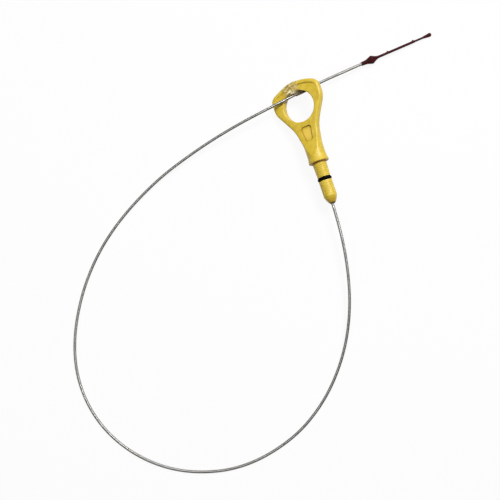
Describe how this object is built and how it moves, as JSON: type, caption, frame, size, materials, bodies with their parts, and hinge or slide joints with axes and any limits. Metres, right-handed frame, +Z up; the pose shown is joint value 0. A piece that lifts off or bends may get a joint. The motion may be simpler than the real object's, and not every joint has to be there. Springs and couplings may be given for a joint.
{
  "type": "engine oil dipstick",
  "caption": "Engine oil dipstick: moulded ring handle with a sealing plug, a flexible wound cable laid in a loop through the ring, and a dark gauge tip with level marks.",
  "frame": {"origin": "middle of the collar's seating face, on the plug's axis", "axes": "-Y along the plug towards its nose, +Y towards the ring, +Z up from the surface the part lies on, +X to the right seen from above"},
  "size_m": [0.3354, 0.269, 0.0228],
  "materials": {
    "handle_plastic": "satin moulded yellow",
    "seal_rubber": "smooth black",
    "ferrule_metal": "crimped, bare",
    "cable_steel": "close-wound bright wire",
    "tip_plastic": "satin dark maroon",
    "tape_film": "clear wrinkled film"
  },
  "bodies": {
    "root": {"handle": "handle_plastic", "o_ring": "seal_rubber", "handle_ferrule": "ferrule_metal", "cable": "cable_steel", "gauge_tip": "tip_plastic", "tip_ferrule": "ferrule_metal", "tape_tie": "tape_film"}
  },
  "joints": []
}
